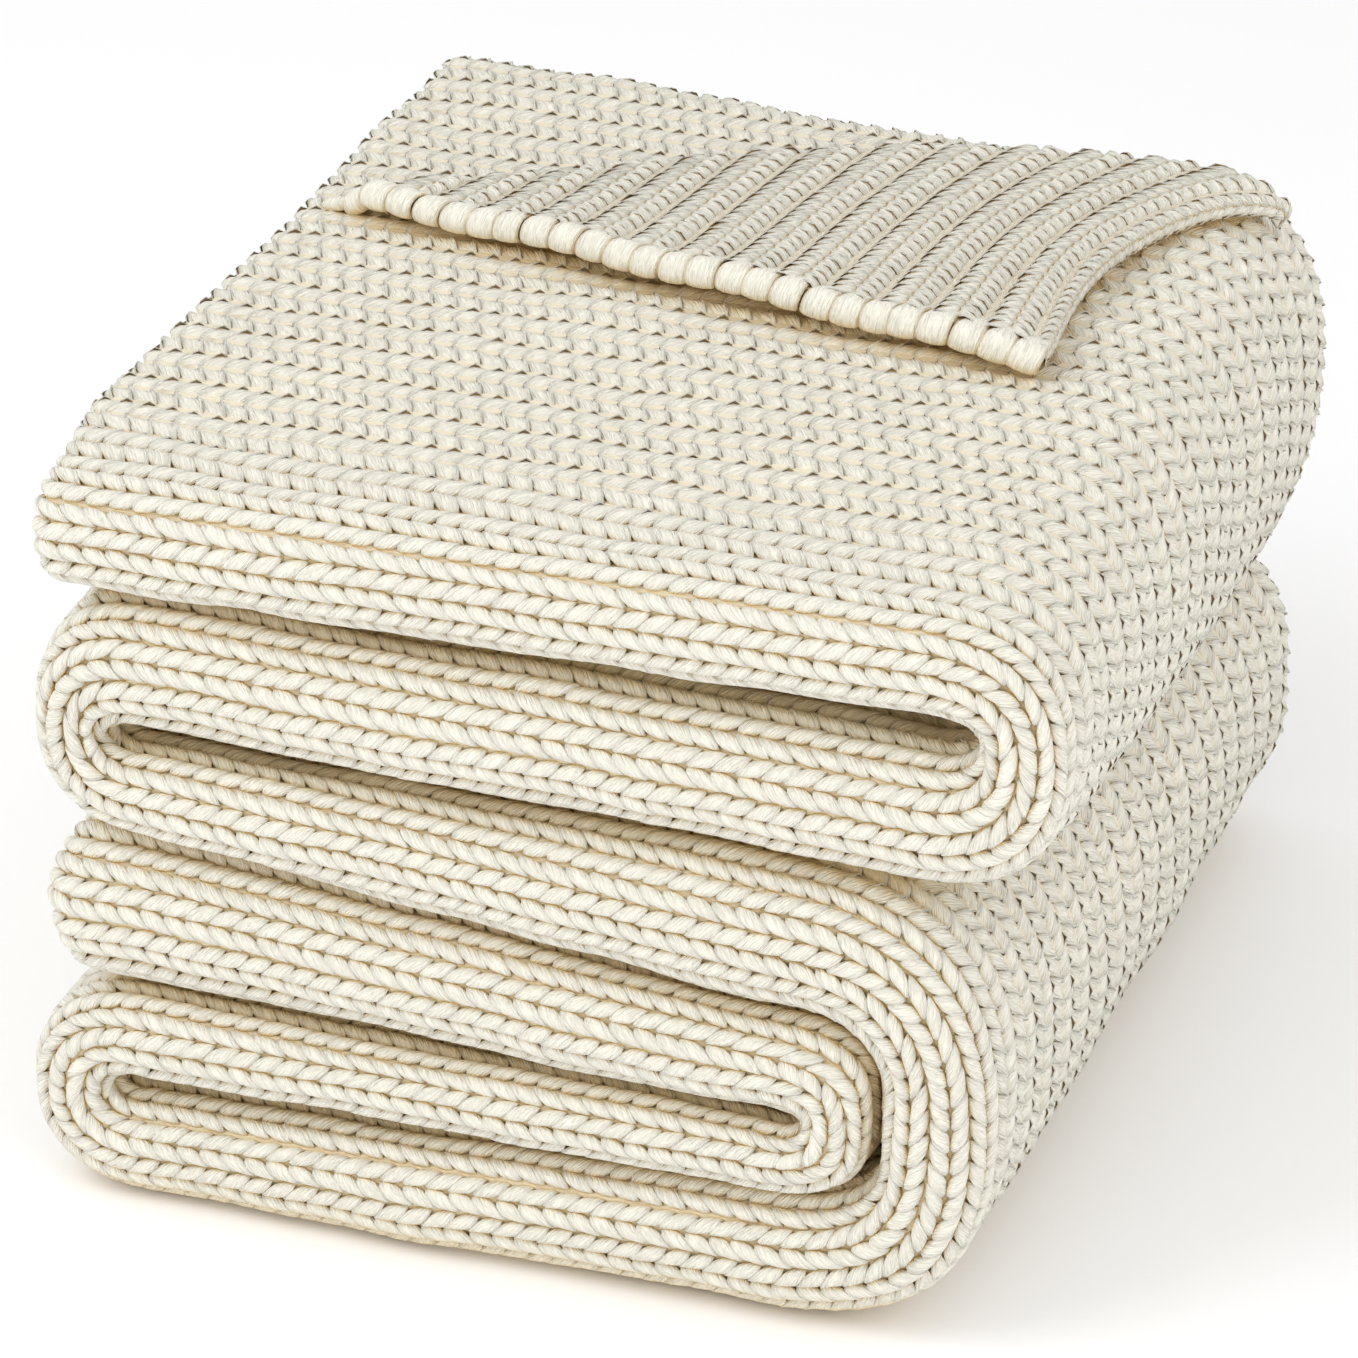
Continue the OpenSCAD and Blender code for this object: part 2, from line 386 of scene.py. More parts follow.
class Knit:
    """A surface that is knitted: a grid of points and normals. Rows are stations along the wales, columns are
    a step apart across them, column mid is at 0, and across() turns a stitch position into a distance."""

    def __init__(self, points, normals, mid, step, across):
        self.points, self.normals, self.mid, self.step, self.across = points, normals, mid, step, across
        self.rows = np.arange(len(points))

    def at(self, f, v):
        """Points and normals at stations f and distances v, by linear interpolation."""
        f = np.clip(f, 0, len(self.points) - 1.001)
        j = np.clip(v / self.step + self.mid, 0, self.points.shape[1] - 1.001)
        i0, j0 = f.astype(int), j.astype(int)
        a, b = (f - i0)[..., None], (j - j0)[..., None]

        def mix(grid):
            near = grid[i0, j0] * (1 - b) + grid[i0, j0 + 1] * b
            far = grid[i0 + 1, j0] * (1 - b) + grid[i0 + 1, j0 + 1] * b
            return near * (1 - a) + far * a

        n = mix(self.normals)
        return mix(self.points), n / np.maximum(np.linalg.norm(n, axis=-1, keepdims=True), 1e-9)

    def run(self, k):
        """Distance along the middle of wale k, from the first station."""
        line, _ = self.at(self.rows.astype(float), np.full(len(self.rows), self.across((k + 0.5) * WALE)))
        return np.concatenate([[0], np.cumsum(np.linalg.norm(np.diff(line, axis=0), axis=1))])


STRIP = Knit(S, N, MID, GRID, spread)


# ---------------------------------------------------------------- materials
# The first two are the yarn's own cream at its crests and the gold that it is painted towards as shade: in
# hollows, in deep places and where ambient occlusion finds it covered.
CREST = (0.820, 0.793, 0.690)
SHADE_GOLD = (0.92, 0.70, 0.34)
# The core's two colours: its cream is warmer than the stitches', as painted shade for yarn seen only behind
# them, and its gold is painted shade as well.
CORE_CREST = (0.83, 0.78, 0.64)
CORE_SHADE_GOLD = (0.90, 0.69, 0.35)
SHEEN = (1.0, 0.98, 0.93, 1)
# How the noise is stretched along the yarn's coordinates: round the strand, along it, from leg to leg.
FIBRE_SCALE = (2.6, 0.22, 23.0)
FIBRE_NOISE = (0.30, 0.70)
FIBRE_TONE = (0.88, 1.05)
FIBRE_HEIGHT = 0.8
# The ambient occlusion's open sky share at which the colour is painted fully gold as shade, and the one from
# which it keeps its crest colour; then how much the painted shade stored at the points adds.
SHADE_SKY = (0.08, 0.56)
PAINTED_SHADE_WEIGHT = 0.80


def node(tree, kind, **values):
    made = tree.nodes.new(kind)
    for name, value in values.items():
        setattr(made, name, value)
    return made


def map_range(tree, source, start, end=(0.0, 1.0)):
    """A node that maps the range start to the range end. Returns its output."""
    made = node(tree, "ShaderNodeMapRange")
    for socket, value in zip(("From Min", "From Max", "To Min", "To Max"), (*start, *end)):
        made.inputs[socket].default_value = value
    tree.links.new(source, made.inputs["Value"])
    return made.outputs[0]


def yarn_material(name, crest, shade_gold, occlusion_distance, strand):
    """Low-twist yarn. Fibres run along each leg, and the hollows between legs are painted golden as shade: by
    the shade stored at the points and by ambient occlusion.
    """
    material = bpy.data.materials.new(name)
    material.use_nodes = True
    tree = material.node_tree
    tree.nodes.clear()
    link = tree.links.new
    output = node(tree, "ShaderNodeOutputMaterial")
    shader = node(tree, "ShaderNodeBsdfPrincipled")
    link(shader.outputs[0], output.inputs[0])
    shader.inputs["Roughness"].default_value = 0.78
    shader.inputs["Specular IOR Level"].default_value = 0.28
    shader.inputs["Sheen Weight"].default_value = 0.22
    shader.inputs["Sheen Roughness"].default_value = 0.45
    shader.inputs["Sheen Tint"].default_value = SHEEN

    yarn = node(tree, "ShaderNodeAttribute", attribute_name="yarn")
    scale = node(tree, "ShaderNodeVectorMath", operation="MULTIPLY")
    scale.inputs[1].default_value = FIBRE_SCALE
    link(yarn.outputs["Vector"], scale.inputs[0])
    strands = node(tree, "ShaderNodeTexNoise")
    strands.inputs["Scale"].default_value = 1.0
    strands.inputs["Detail"].default_value = 2.0
    strands.inputs["Roughness"].default_value = 0.6
    link(scale.outputs[0], strands.inputs["Vector"])

    # The painted shade: the colour is painted towards gold by the shade stored at the points and by how
    # covered ambient occlusion finds them.
    depth = node(tree, "ShaderNodeAttribute", attribute_name="depth")
    occlusion = node(tree, "ShaderNodeAmbientOcclusion", samples=6)
    occlusion.inputs["Distance"].default_value = occlusion_distance * MM
    occlusion_shade = map_range(tree, occlusion.outputs["AO"], SHADE_SKY, (1.0, 0.0))
    hollow_shade = node(tree, "ShaderNodeMath", operation="MULTIPLY_ADD")
    hollow_shade.use_clamp = True
    link(depth.outputs["Fac"], hollow_shade.inputs[0])
    hollow_shade.inputs[1].default_value = PAINTED_SHADE_WEIGHT
    link(occlusion_shade, hollow_shade.inputs[2])

    colour = node(tree, "ShaderNodeMix", data_type="RGBA")
    colour.inputs["A"].default_value = (*crest, 1)
    colour.inputs["B"].default_value = (*shade_gold, 1)
    link(hollow_shade.outputs[0], colour.inputs["Factor"])
    tone = map_range(tree, strands.outputs["Fac"], FIBRE_NOISE, FIBRE_TONE)
    relief = map_range(tree, strands.outputs["Fac"], FIBRE_NOISE)
    shade = node(tree, "ShaderNodeVectorMath", operation="SCALE")
    link(colour.outputs["Result"], shade.inputs[0])
    link(tone, shade.inputs["Scale"])
    link(shade.outputs[0], shader.inputs["Base Color"])

    bump = node(tree, "ShaderNodeBump")
    bump.inputs["Strength"].default_value = strand
    bump.inputs["Distance"].default_value = FIBRE_HEIGHT * MM
    link(relief, bump.inputs["Height"])
    link(bump.outputs[0], shader.inputs["Normal"])
    return material


KNIT = yarn_material("cream_yarn", CREST, SHADE_GOLD, 22.0, 0.8)
CORE = yarn_material("yarn_behind_the_stitches", CORE_CREST, CORE_SHADE_GOLD, 12.0, 0.5)


# ---------------------------------------------------------------- meshes
LOWEST = 0.02


def mesh_object(name, points, quads, yarn, depth, material, rings=()):
    """points in millimetres; quads as an array of four indices; rings are closing polygons. yarn, and the
    painted shade after it, are the values at the points that the material reads; the painted shade says how
    far the colour is painted towards gold."""
    points[:, 2] = np.maximum(points[:, 2], LOWEST)
    mesh = bpy.data.meshes.new(name)
    quads = np.asarray(quads, np.int32)
    extra = [np.asarray(r, np.int32) for r in rings]
    loops = np.concatenate([quads.ravel()] + extra) if extra else quads.ravel()
    sizes = np.concatenate([np.full(len(quads), 4), [len(r) for r in extra]]).astype(np.int32)
    starts = np.concatenate([[0], np.cumsum(sizes)[:-1]]).astype(np.int32)
    mesh.vertices.add(len(points))
    mesh.vertices.foreach_set("co", (points * MM).astype(np.float32).ravel())
    mesh.loops.add(len(loops))
    mesh.loops.foreach_set("vertex_index", loops)
    mesh.polygons.add(len(sizes))
    mesh.polygons.foreach_set("loop_start", starts)
    mesh.update(calc_edges=True)
    mesh.polygons.foreach_set("use_smooth", np.ones(len(sizes), bool))
    mesh.attributes.new("yarn", "FLOAT_VECTOR", "POINT").data.foreach_set(
        "vector", yarn.astype(np.float32).ravel())
    # Each point's painted shade, which the material mixes towards gold.
    mesh.attributes.new("depth", "FLOAT", "POINT").data.foreach_set("value", depth.astype(np.float32).ravel())
    mesh.materials.append(material)
    made = bpy.data.objects.new(name, mesh)
    bpy.context.scene.collection.objects.link(made)
    return made


def tube_quads(count, rings, across):
    """Quads of count open tubes, each of rings by across points."""
    r, c = np.meshgrid(np.arange(rings - 1), np.arange(across - 1), indexing="ij")
    base = (r * across + c).ravel()
    one = np.stack([base, base + 1, base + across + 1, base + across], -1)
    return (one[None] + (np.arange(count) * rings * across)[:, None, None]).reshape(-1, 4)


# Rings along a leg and points across it.
FINE = (9, 6)
COARSE = (6, 4)
# How far a leg rolls over its rope, and how much of its swing across is curved rather than straight.
ROLL_FROM, ROLL_TO = math.radians(-6), math.radians(190)
CURVED = 0.12
# Only the outside of a leg is made.
ARC_FROM, ARC_TO = -22, 202
TIP_WIDTH = 0.14
TIP_POWER = 3.2


def leg_field(legs, rings, across):
    """Each leg is a strand that rolls over one half of a rope, from the wale's edge to its middle. Returns
    the points as (along, across, height), the painted shade, which grows with the distance below the crest,
    and the yarn's own coordinates."""
    tau = np.linspace(0, 1, rings)[None, :, None]
    ang = np.radians(np.linspace(ARC_FROM, ARC_TO, across))[None, None, :]

    def col(name):
        return legs[name][:, None, None]

    roll = ROLL_FROM + (ROLL_TO - ROLL_FROM) * tau
    wide, tall = col("rope_wide"), col("rope_tall")
    swing = CURVED * np.cos(roll) + (1 - CURVED) * (1 - 2 * tau)
    centre = (col("reach") * tau, col("rope_at") + wide * swing, col("lift") + tall * (np.sin(roll) - 1))
    d_roll = ROLL_TO - ROLL_FROM
    d_swing = -CURVED * np.sin(roll) * d_roll - 2 * (1 - CURVED)
    tangent = (col("reach") + 0 * tau, wide * d_swing, tall * np.cos(roll) * d_roll)
    size = np.sqrt(sum(t * t for t in tangent))
    t_a, t_b, t_c = (t / size for t in tangent)
    r_b, r_c = np.cos(roll), np.sin(roll)
    w_a, w_b, w_c = t_b * r_c - t_c * r_b, -t_a * r_c, t_a * r_b
    w_size = np.sqrt(w_a ** 2 + w_b ** 2 + w_c ** 2)
    taper = TIP_WIDTH + (1 - TIP_WIDTH) * np.sqrt(1 - np.abs(2 * tau - 1) ** TIP_POWER)
    wide_by = col("strand_wide") * taper * np.cos(ang) / w_size
    tall_by = col("strand_tall") * taper * np.sin(ang)
    a = centre[0] + w_a * wide_by
    b = (centre[1] + w_b * wide_by + r_b * tall_by) * col("side")
    c = centre[2] + w_c * wide_by + r_c * tall_by
    yarn = np.stack(np.broadcast_arrays(
        np.degrees(ang) / 52 * col("strand_wide") / 1.8 + 1.2 * tau, tau * col("reach"), col("random")), -1)
    # Painted shade: the further a point lies below the strand's crest, the more golden its colour is painted.
    depth = np.clip((col("lift") + col("strand_tall") - c - 1.35) / 2.2, 0, 1)
    return np.broadcast_arrays(a, b, c, depth) + [yarn]


HERE = {s.name: n for n, s in enumerate(SEGMENTS)}
# The station where every wale has a stitch, so that neighbours line up.
ORIGIN = START[HERE["top_panel"]] + END_STEPS + 36
ROUND_LENGTH = 24.0
WALES_EACH_SIDE = 27
# The last wale before the back seam may stand this far past it, and is then squeezed at the seam.
PAST_SEAM = 6.0
RANDOMS = ("random", "r1", "r2", "r3", "r4")


def loop_length(f, v):
    """Distance round the strip at station f, from the front's middle to the back's on the side of v."""
    stations = np.arange(STATIONS)
    return np.where(v > 0, np.interp(f, stations, LENGTH_Q), np.interp(f, stations, LENGTH_P))


def randomise(legs, rng):
    for key in RANDOMS:
        legs[key] = rng.uniform(0, 1, len(legs["s"]))
    return legs


def openness(f, v):
    """How far the knit is stretched open: most on the front, little on flat faces and round the sides."""
    i = np.clip(f.astype(int), 0, STATIONS - 1)
    edge = 1 - np.clip((np.abs(v) - ROUND_LENGTH) / 38.0, 0, 1)
    fold = np.isin(SEGMENT_AT[i], [HERE["right_upper_fold"], HERE["right_outer_fold"]])
    edge = np.where(fold, edge * np.clip(1.25 - np.abs(v) / 36.0, 0, 1), edge)
    return np.clip(edge, 0, 1)


def all_legs():
    """Every stitch leg on the strip, one array per quantity."""
    rng = np.random.default_rng(SEED + 1)
    found = []
    for k in range(-WALES_EACH_SIDE, WALES_EACH_SIDE):
        v0 = (k + 0.5) * WALE
        run = STRIP.run(k)
        zero = run[ORIGIN]
        first, last = math.ceil((run[0] - zero) / COURSE), math.floor((run[-1] - zero) / COURSE)
        s = np.arange(first, last) * COURSE + zero
        f = np.interp(s, run, np.arange(STATIONS))
        keep = spread(abs(v0)) < loop_length(f, v0) + PAST_SEAM
        s, f = s[keep], f[keep]
        n = len(s)
        for side in (1.0, -1.0):
            found.append(dict(k=np.full(n, k), v0=np.full(n, v0), s=s, f=f, side=np.full(n, side)))
    legs = {key: np.concatenate([row[key] for row in found]) for key in found[0]}
    return randomise(legs, rng)


LEGS = all_legs()
LEGS["open"] = np.clip(openness(LEGS["f"], spread(LEGS["v0"])) + 0.3 * (LEGS["r1"] - 0.5), 0, 1.1)


# A leg's sizes in millimetres, as (tight and flat, open, random range, its random number). reach is its
# length along the wale. rope_at is how far its rope's middle is from the wale's, and rope_wide and rope_tall
# are the rope's half width and height. strand_wide and strand_tall are the strand's half width and height,
# and lift is how far it stands off the surface.
LEG_SIZES = {
    "reach": (10.8, 9.5, 0.9, "r2"),
    "rope_at": (2.92, 2.90, 0.20, "r4"),
    "rope_wide": (2.66, 2.52, 0.20, "r3"),
    "rope_tall": (0.40, 1.25, 0.0, "r1"),
    "strand_wide": (2.55, 2.28, 0.2, "r3"),
    "strand_tall": (0.62, 1.25, 0.1, "r2"),
    "lift": (0.12, -0.05, 0.18, "r4"),
}


def shape_legs(legs):
    """Leg sizes: tight flat stitches at open 0, plump steep ropes with holes between at open 1."""
    for key, (tight, loose, jitter, number) in LEG_SIZES.items():
        legs[key] = tight + (loose - tight) * legs["open"] + jitter * (legs[number] - 0.5)
    return legs


LEGS = shape_legs(LEGS)
# Boundaries between wales that are drawn apart, as (segment, boundary, millimetres).
DRAWN = (
    ("top_panel", 1, 0.20),
    ("second_panel", 1, 0.55), ("second_panel", 0, 0.15), ("third_panel", -1, 0.20),
    ("fourth_panel", 1, 0.55), ("fourth_panel", 0, 0.20), ("fifth_panel", 1, 0.15),
    ("bottom_panel", 1, 0.20), ("bottom_panel", -1, 0.25), ("right_inner_fold", 1, 0.25),
)


def draw_apart(legs):
    """Moves the legs on both sides of a drawn boundary away from it."""
    edge = np.where(legs["side"] > 0, legs["k"] + 1, legs["k"])
    segment = SEGMENT_AT[np.clip(legs["f"].astype(int), 0, STATIONS - 1)]
    for name, boundary_at, gap in DRAWN:
        near = (segment == HERE[name]) & (edge == boundary_at)
        legs["rope_at"][near] -= gap
        legs["rope_wide"][near] -= 0.3 * gap
    return legs


LEGS = draw_apart(LEGS)


def legs_mesh(name, surface, legs, detail, material):
    """Legs on a knitted surface as one mesh, each laid along its own wale."""
    rings, across = detail
    a, b, c, depth, yarn = leg_field(legs, rings, across)
    f = np.empty(a.shape)
    for k in np.unique(legs["k"]):
        mine = legs["k"] == k
        f[mine] = np.interp(legs["s"][mine][:, None, None] + a[mine], surface.run(k), surface.rows)
    p, n = surface.at(f, surface.across(legs["v0"][:, None, None] + b))
    points = (p + n * c[..., None]).reshape(-1, 3)
    return mesh_object(name, points, tube_quads(len(legs["s"]), rings, across), yarn.reshape(-1, 3),
                       depth.ravel(), material)


def pick(legs, chosen):
    return {key: value[chosen] for key, value in legs.items()}


# How far the core lies under the knitted surface where the knit is open, and where it is flat.
CORE_DEPTH = 1.3
FLAT_CORE_DEPTH = -0.10
CORE_COLUMNS = 150
# A painted shade share that tints the whole core towards gold.
CORE_PAINTED_SHADE = 0.25


def core_mesh(name, f0, f1, deeper=0.0):
    """The smooth inside of the strip from station f0 to f1, a little under the stitches."""
    rows = max(2, int(math.ceil(f1 - f0)) + 1)
    f = np.linspace(f0, f1, rows)
    share_round = np.arange(CORE_COLUMNS) / CORE_COLUMNS
    low = -np.interp(f, np.arange(STATIONS), LENGTH_P)
    high = np.interp(f, np.arange(STATIONS), LENGTH_Q)
    v = low[:, None] + (high - low)[:, None] * share_round[None]
    ff = np.repeat(f[:, None], CORE_COLUMNS, 1)
    p, n = STRIP.at(ff, v)
    sink = FLAT_CORE_DEPTH + (CORE_DEPTH - FLAT_CORE_DEPTH) * openness(ff, v)
    points = (p - n * (sink + deeper)[..., None]).reshape(-1, 3)
    i, j = np.meshgrid(np.arange(rows - 1), np.arange(CORE_COLUMNS), indexing="ij")
    j1 = (j + 1) % CORE_COLUMNS
    quads = np.stack([i * CORE_COLUMNS + j, (i + 1) * CORE_COLUMNS + j, (i + 1) * CORE_COLUMNS + j1,
                      i * CORE_COLUMNS + j1], -1).reshape(-1, 4)
    rings = [np.arange(CORE_COLUMNS), np.arange(CORE_COLUMNS)[::-1] + (rows - 1) * CORE_COLUMNS]
    yarn = np.stack([v, ff * 3.0, np.zeros_like(v)], -1).reshape(-1, 3)
    return mesh_object(name, points, quads, yarn, np.full(rows * CORE_COLUMNS, CORE_PAINTED_SHADE), CORE, rings)


# ---------------------------------------------------------------- pieces
# Stitches this near to the front's or the back's middle always get full detail.
FRONT_RIM = 46.0
BACK_RIM = 34.5
# A fold's cores overlap by LAP stations and lie a little deeper.
LAP = 1.2
LAPPED_DEEPER = 0.3
SHORTEST_SECTOR = 0.2
# The cores keep clear of the strip's two ends.
FIRST_CORE, LAST_CORE = 1.5, STATIONS - 2.5
LAST_STATION = STATIONS - 1.01


def leg_groups(f0, f1, seen_q, seen_p):
    """(label, chosen legs, detail) of the legs that start between stations f0 and f1. seen_q and seen_p say
    how each face is made: in full detail, in low detail, or not at all where other layers hide it."""
    inside = (LEGS["f"] >= f0) & (LEGS["f"] < f1)
    v = spread(LEGS["v0"])
    rim = (np.abs(v) < FRONT_RIM) | (np.abs(v) > loop_length(LEGS["f"], v) - BACK_RIM)
    face = {1: (v > 0) & ~rim, -1: (v < 0) & ~rim}
    groups = [("edge_stitches", inside & rim, FINE)]
    for sign, seen, label in ((1, seen_q, "outer_stitches"), (-1, seen_p, "inner_stitches")):
        if seen != "none":
            groups.append((label, inside & face[sign], FINE if seen == "full" else COARSE))
    return groups


def place(piece, body, bend=None):
    """Puts a piece on a body or, with bend as (parent, child, t), bakes its transform and leaves it on
    neither body."""
    if bend is None:
        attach(piece, body)
    else:
        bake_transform(piece)
    return piece


def panel_pieces(name, f0, f1, body, seen_q, seen_p):
    """The core and the stitches of a part of the strip that moves as one. They replace the node name."""
    core = place(core_mesh(name + "_core", max(f0, FIRST_CORE), min(f1, LAST_CORE)), body)
    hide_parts(name)
    for label, chosen, detail in leg_groups(f0, f1, seen_q, seen_p):
        place(legs_mesh(f"{name}_{label}", STRIP, pick(LEGS, chosen), detail, KNIT), body)


def inverse_smoothstep(w):
    """Where smoothstep is w."""
    return 0.5 - math.sin(math.asin(1 - 2 * min(max(w, 0), 1)) / 3)


def fold_pieces(name, fold, f0, f1, parent, child, seen_q, seen_p, bend_from, bend_to, sectors):
    """A fold in sectors, cut at the angles from bend_from to bend_to. The sector before bend_from is put on
    the child and the one past bend_to on the parent; the sectors between are baked in place on neither body."""
    index = np.arange(f0, f1)
    turn = np.degrees(fold.phi)
    cuts_at = np.linspace(bend_from, bend_to, sectors + 1)
    order = np.argsort(turn)
    cuts = [float(f0)] + [float(np.interp(c, turn[order], index[order])) for c in cuts_at] + [float(f1)]
    for n in range(sectors + 2):
        share_of_child = 1 - (n - 0.5) / sectors
        a, b = cuts[n], cuts[n + 1]
        if b - a < SHORTEST_SECTOR:
            continue
        rigid = child if n == 0 else parent if n == sectors + 1 else None
        bend = None if rigid else (parent, child, inverse_smoothstep(share_of_child))
        label = f"{name}_{n + 1:02d}"
        mesh = core_mesh(label + "_core", max(a - LAP, 0), min(b + LAP, LAST_STATION), LAPPED_DEEPER)
        core = place(mesh, rigid, bend)
        if n == 0:
            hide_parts(name)
        for part, chosen, detail in leg_groups(a, b, seen_q, seen_p):
            if chosen.any():
                place(legs_mesh(f"{label}_{part}", STRIP, pick(LEGS, chosen), detail, KNIT), rigid, bend)


def start_of(name):
    return float(START[HERE[name]])


def end_of(name):
    return float(START[HERE[name] + 1])


# (name, body, q face, p face) of every part of the strip that doesn't bend and is put whole on one body.
PANELS = (
    ("top_end_edge", "top", "full", "full"),
    ("top_panel", "top", "full", "low"),
    ("second_panel", "second", "low", "low"),
    ("third_panel", "third", "low", "low"),
    ("bottom_panel", "base", "low", "none"),
    ("left_lower_fold", "base", "full", "none"),
    ("fifth_panel", "base", "none", "none"),
    ("right_inner_fold", "base", "none", "low"),
    ("fourth_panel", "base", "none", "low"),
    ("inner_end_edge", "base", "full", "full"),
)
# The two end edges are cut off the panels that they end.
TOP_CUT = start_of("top_panel") + END_STEPS
INNER_CUT = end_of("fourth_panel") - END_STEPS
CUTS = {
    "top_end_edge": (0.0, TOP_CUT),
    "top_panel": (TOP_CUT, end_of("top_panel")),
    "fourth_panel": (start_of("fourth_panel"), INNER_CUT),
    "inner_end_edge": (INNER_CUT, LAST_STATION),
}
for name, body, seen_q, seen_p in PANELS:
    first, last = CUTS[name] if name in CUTS else (start_of(name), end_of(name))
    panel_pieces(name, first, last, body, seen_q, seen_p)

# (fold, parent, child, q face, p face, first angle, last angle, sectors)
BENDING = (
    (AB, "second", "top", "full", "low", 9, -9, 1),
    (BC, "third", "second", "none", "full", 70, -70, 12),
    (CF, "base", "third", "full", "low", 80, -10, 12),
)
for fold, *how in BENDING:
    fold_pieces(fold.name, fold, int(start_of(fold.name)), int(end_of(fold.name)), *how)

# ---------------------------------------------------------------- the turned corner
# Matched points (x, y) on the bound-off edge and on the crease, one pair for each rib, from left to right.
RIBS = (
    ((-116, 30.0), (-114, 32)),
    ((-103, 24.0), (-98, 34)),
    ((-85, 20.5), (-75, 43)),
    ((-60, 16.0), (-46, 62)),
    ((-33, 10.5), (-15, 79)),
    ((-5, 4.5), (10, 92)),
    ((22, -1.5), (34, 102)),
    ((50, -6.5), (64, 108)),
    ((75, -9.5), (96, 110)),
    ((87, -11), (116, 108)),
)
EDGE_LINE = [pair[0] for pair in RIBS]
CREASE_LINE = [pair[1] for pair in RIBS]
SIDE_EDGE = ((87, -11), (85, 18), (85.5, 42), (89, 62), (96, 80), (105, 94), (116, 108))
# A stitch on the corner is wider and shorter than on the stack.
RIB_WALE = 14.6
FLAP_COURSE = 4.4
WALE_COLUMNS = 4
FLAP_STEP = WALE / WALE_COLUMNS
# Heights of the corner's two faces over the stack.
TOP_FLAP = 8.6
UNDER_FLAP = 2.2
FLAP_ROWS = 60
RIM_ROWS = 9
CREASE_RADIUS = 4.0
CREASE_TURN = math.radians(125)
# The bound edge stands off the stack, and waves a little.
EDGE_LIFT = 3.0
EDGE_WAVE = 0.7


def through(points, t, degree=3):
    """A smooth line near given points, at shares t of its length."""
    points = np.array(points, float)
    run = np.concatenate([[0], np.cumsum(np.linalg.norm(np.diff(points, axis=0), axis=1))])
    run /= run[-1]
    return np.stack([np.polyval(np.polyfit(run, points[:, c], degree), t) for c in (0, 1)], -1)


def top_surface(xy):
    """The stack's top at (x, y), and its normal, where it runs on down over the right upper fold."""
    x, y = xy[..., 0], xy[..., 1]
    low, high = over(4, UPPER_X, y), under(6, UPPER_X, y)
    middle, half = (low + high) / 2, (high - low) / 2
    reach, n = AB_REACH, AB_ROUNDNESS
    t = np.clip((x - UPPER_X) / reach, 0, 0.98)
    z = middle + half * (1 - t ** n) ** (1 / n)
    slope = -half / reach * t ** (n - 1) * (1 - t ** n) ** (1 / n - 1)
    normal = np.stack([-slope, np.zeros_like(x), np.ones_like(x)], -1)
    return np.stack([x, y, z], -1), normal / np.linalg.norm(normal, axis=-1, keepdims=True)


def flap_plan(p, q):
    """(x, y) on the corner. p runs from the left tip to the side edge, and q from bound edge to crease."""
    edge = through(EDGE_LINE, p)
    crease = through(CREASE_LINE, p, 5)
    straight = edge * (1 - q[..., None]) + crease * q[..., None]
    side = through(SIDE_EDGE, q, 4)
    edge_end, crease_end = through(EDGE_LINE, np.ones(1)), through(CREASE_LINE, np.ones(1), 5)
    bow = side - (edge_end * (1 - q[..., None]) + crease_end * q[..., None])
    return straight + bow * (p ** 4)[..., None]


def flap_grid():
    """The corner's upper face, its side rim and its lower face. The grid's columns run along the ribs."""
    wales = int(np.linalg.norm(np.diff(EDGE_LINE, axis=0), axis=1).sum() / RIB_WALE)
    top_columns = WALE_COLUMNS * wales
    rim_columns = WALE_COLUMNS
    p_line = np.concatenate([np.linspace(0, 1, top_columns + 1), np.ones(rim_columns - 1),
                             np.linspace(1, 0, top_columns + 1)])
    rim = np.concatenate([np.zeros(top_columns + 1), np.arange(1, rim_columns) / rim_columns,
                          np.ones(top_columns + 1)])
    q_line = np.linspace(0, 1, FLAP_ROWS)
    p, q = np.meshgrid(p_line, q_line)
    plan = flap_plan(p, q)
    base, up = top_surface(plan)
    along = np.gradient(plan, axis=0)
    along = np.concatenate([along, np.zeros_like(along[..., :1])], -1)
    out = np.stack([along[..., 1], -along[..., 0], np.zeros_like(along[..., 0])], -1)
    out /= np.maximum(np.linalg.norm(out, axis=-1, keepdims=True), 1e-9)
    middle_height, half_height = (TOP_FLAP + UNDER_FLAP) / 2, (TOP_FLAP - UNDER_FLAP) / 2
    turn = math.pi * rim[None] + 0 * q
    lift = EDGE_LIFT * np.exp(-q * 7) * np.sin(math.pi * np.clip(p, 0.02, 1)) ** 0.7
    lift += EDGE_WAVE * np.sin(p * 23) * np.exp(-q * 5)
    thin = np.clip(p * 14, 0.25, 1)
    height = (middle_height + half_height * np.cos(turn)) * thin + lift
    points = base + up * height[..., None] + out * (half_height * np.sin(turn))[..., None]
    # Past the crease the upper face rolls over and meets the stack.
    last, direction = points[-1], points[-1] - points[-3]
    direction /= np.maximum(np.linalg.norm(direction, axis=-1, keepdims=True), 1e-9)
    roll = np.linspace(0, CREASE_TURN, RIM_ROWS)[1:, None, None]
    drop = CREASE_RADIUS * thin[-1][None, :, None]
    rows = last[None] + direction[None] * drop * np.sin(roll) - up[-1][None] * drop * (1 - np.cos(roll))
    under_face = rim[None, :, None] > 0.5
    rows = np.where(under_face, last[None] + direction[None] * 0.2 * roll, rows)
    points = np.concatenate([points, rows])
    normals = normals_of(points)
    facing = np.where(normals[5, top_columns // 2, 2] < 0, -1, 1)
    return points, normals * facing, wales, top_columns


FLAP_POINTS, FLAP_NORMALS, FLAP_WALES, FLAP_COLUMNS = flap_grid()
FLAP = Knit(FLAP_POINTS, FLAP_NORMALS, 0, FLAP_STEP, lambda u: u)
# How a leg on the corner differs from a tight leg on the stack. The rope lies nearer to its rib's middle, so
# that the boundaries between ribs are open.
FLAP_CHANGE = {"rope_at": -0.35, "rope_wide": -0.20, "reach": -1.6, "strand_wide": -0.25}


